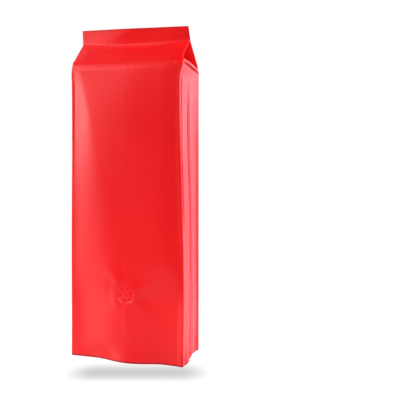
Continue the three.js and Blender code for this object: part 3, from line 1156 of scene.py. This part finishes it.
def floor_material():
    """Softly glowing white, with a long soft shadow across the view in front of the bag.

    The shadow is the product of two cubic falls, along and across a turned line.
    """
    material, tree = blank_material("white_floor")
    place = Socket.node(tree, "ShaderNodeTexCoord", output="Object")
    x, y = (
        Socket.node(tree, "ShaderNodeSeparateXYZ", inputs={0: place}, output=axis) - middle
        for axis, middle in zip("XY", SHADOW_MIDDLE)
    )
    along = x * np.cos(SHADOW_TURN) + y * np.sin(SHADOW_TURN)
    across = y * np.cos(SHADOW_TURN) - x * np.sin(SHADOW_TURN)

    def fading(distance, full, none):
        """1 where the distance is below full, 0 beyond none, with a smooth step between."""
        inputs = {0: distance, 1: full, 2: none, 3: 1.0, 4: 0.0}
        return Socket.node(tree, "ShaderNodeMapRange", {"interpolation_type": "SMOOTHSTEP"}, inputs)

    shade = fading(abs(along), *SHADOW_LENGTH_SPAN) * fading(abs(across), *SHADOW_WIDTH_SPAN)
    surface = Socket.node(
        tree,
        "ShaderNodeBsdfPrincipled",
        inputs={
            "Base Color": mixed(tree, shade, FLOOR_WHITE, FLOOR_SHADE),
            "Roughness": FLOOR_ROUGHNESS,
            "Specular IOR Level": 0.0,
            "Emission Color": mixed(tree, shade, GLOW_WHITE, GLOW_SHADE),
            "Emission Strength": FLOOR_GLOW,
        },
    )
    Socket.node(tree, "ShaderNodeOutputMaterial", inputs={"Surface": surface})
    return material


def floor_disc():
    """The floor: rings of points round the origin, from the middle outwards, just under the bag."""
    radii = FLOOR_RINGS[:, None] * FLOOR_RADIUS
    angle = np.linspace(0, 2 * np.pi, FLOOR_SPOKES, endpoint=False)[None, :]
    disc = disc_piece("floor", points_of(radii * np.cos(angle), radii * np.sin(angle), -FLOOR_DROP))
    disc.data.materials.append(floor_material())
    return disc


floor = floor_disc()
floor.visible_glossy = False

# The surround is white to the camera and lights nothing.
world = bpy.data.worlds.new("white_surround")
bpy.context.scene.world = world
world.use_nodes = True
world_tree = world.node_tree
world_tree.nodes.clear()
seen = Socket.node(world_tree, "ShaderNodeLightPath", output="Is Camera Ray")
surround = Socket.node(world_tree, "ShaderNodeBackground", inputs={"Color": GLOW_WHITE, "Strength": seen})
Socket.node(world_tree, "ShaderNodeOutputWorld", inputs={"Surface": surround})

# A tent of soft white walls and a roof
TENT_HALF = 1.6
TENT_FOOT = -0.3
TENT_HEIGHT = 2.0
TENT_RADIANCE = 1.215
ROOF_RADIANCE = 0.40
TENT_WALLS = (("front", 0, -1), ("right", 1, 0), ("back", 0, 1), ("left", -1, 0))

# Panels round the bag: name, degrees from the front towards the right, degrees up, size, radiance, and a
# tint where it isn't white
WHITE = (1, 1, 1)
COOL = (1.0, 0.98, 1.12)
BAG_MIDDLE = Vector((0, 0, 0.18))
KEY_DISTANCE = 1.3
KEY_PANELS = (
    ("left_key", -70, 30, (0.60, 0.90), 3.4),
    ("right_key", 118, 32, (0.80, 0.80), 5.5),
)
GLOSS_DISTANCE = 1.15
GLOSS_PANELS = (
    ("left_gloss", -62, 8, (0.24, 0.28), 8.2),
    ("left_high_gloss", -52, 14, (0.24, 0.40), 6.6),
    ("left_low_gloss", -52, -12, (0.24, 0.50), 3.1),
    ("left_foot_gloss", -45, -32, (0.40, 0.30), 0.9),
    ("belly_gloss", -42, 8, (0.24, 0.28), 2.2),
    ("shoulder_gloss", -46, 33, (0.30, 0.36), 5.8),
    ("shoulder_high_gloss", -54, 44, (0.28, 0.28), 2.6),
    ("roof_gloss", -40, 62, (0.30, 0.30), 0.7),
    ("gable_gloss", -112, 46, (0.45, 0.32), 0.9),
    ("gable_low_gloss", -108, 66, (0.35, 0.30), 0.25),
    ("front_gloss", 12, 20, (0.40, 0.30), 1.15),
    ("front_right_gloss", 54, 5, (0.50, 0.90), 0.50),
    ("valve_gloss", 16, 54, (0.25, 0.25), 3.4),
    ("crease_gloss", 100, 5, (0.40, 1.20), 2.2, COOL),
    ("side_front_gloss", 122, 0, (0.35, 1.00), 2.4, COOL),
    ("side_high_gloss", 142, 16, (0.30, 0.40), 3.6, COOL),
    ("side_back_gloss", 160, -4, (0.35, 1.00), 1.5, COOL),
    ("bead_gloss", 178, 12, (0.30, 0.40), 2.2, COOL),
)

# A faint panel flat on the floor, for what the film mirrors of it: place, size and radiance
FLOOR_GLOSS_PLACE = Vector((-0.10, -0.28, 0.004))
FLOOR_GLOSS = ((0.50, 0.36), 0.10)
UP = Vector((0, 0, 1))


def soft_panel(name, place, aim, matte, size, radiance, tint=WHITE):
    """A rectangular soft light at a place, facing the aim, with an even radiance over its face.

    A matte panel lights without being mirrored in the film; any other only shows in the film's gloss.
    """
    lamp = bpy.data.lights.new(name, "AREA")
    lamp.shape = "RECTANGLE"
    lamp.size, lamp.size_y = size
    lamp.energy = radiance * np.pi * size[0] * size[1]
    lamp.color = tint
    lamp.cycles.use_multiple_importance_sampling = not matte
    panel = bpy.data.objects.new(name, lamp)
    panel.location = place
    panel.rotation_mode = "QUATERNION"
    panel.rotation_quaternion = (Vector(aim) - Vector(place)).to_track_quat("-Z", "Y")
    panel.visible_camera = False
    panel.visible_diffuse = matte
    panel.visible_glossy = not matte
    bpy.context.scene.collection.objects.link(panel)


def around(azimuth, elevation, distance):
    """A place round the bag's middle: degrees from the front towards the right, degrees up, metres away."""
    turn, rise = np.radians(azimuth), np.radians(elevation)
    away = Vector((np.sin(turn) * np.cos(rise), -np.cos(turn) * np.cos(rise), np.sin(rise)))
    return BAG_MIDDLE + away * distance


wall_middle = (TENT_FOOT + TENT_HEIGHT) / 2
wall_size = (2 * TENT_HALF, TENT_HEIGHT - TENT_FOOT)
roof_size = (2 * TENT_HALF, 2 * TENT_HALF)
for wall_name, right, back in TENT_WALLS:
    wall_place = (right * TENT_HALF, back * TENT_HALF, wall_middle)
    soft_panel(f"tent_{wall_name}", wall_place, (0, 0, wall_middle), True, wall_size, TENT_RADIANCE)
soft_panel("tent_roof", (0, 0, TENT_HEIGHT), (0, 0, 0), True, roof_size, ROOF_RADIANCE)
for panels, distance, matte in ((KEY_PANELS, KEY_DISTANCE, True), (GLOSS_PANELS, GLOSS_DISTANCE, False)):
    for name, azimuth, elevation, *look in panels:
        soft_panel(name, around(azimuth, elevation, distance), BAG_MIDDLE, matte, *look)
soft_panel("floor_gloss", FLOOR_GLOSS_PLACE, FLOOR_GLOSS_PLACE + UP, False, *FLOOR_GLOSS)

CAMERA_PLACE = Vector((0.2851, -0.7165, 0.2267))
CAMERA_YAW = np.radians(-16.49)
CAMERA_DOWN = np.radians(4.12)
CAMERA_LENS = 63.0
CAMERA_SENSOR = 36.0

camera_data = bpy.data.cameras.new("camera")
camera_data.sensor_width = CAMERA_SENSOR
camera_data.lens = CAMERA_LENS
camera = bpy.data.objects.new("camera", camera_data)
camera.location = CAMERA_PLACE
level = np.cos(CAMERA_DOWN)
looking = Vector((np.sin(CAMERA_YAW) * level, np.cos(CAMERA_YAW) * level, -np.sin(CAMERA_DOWN)))
camera.rotation_mode = "QUATERNION"
camera.rotation_quaternion = looking.to_track_quat("-Z", "Y")
bpy.context.scene.collection.objects.link(camera)
bpy.context.scene.camera = camera

bpy.context.scene.view_settings.view_transform = "Standard"
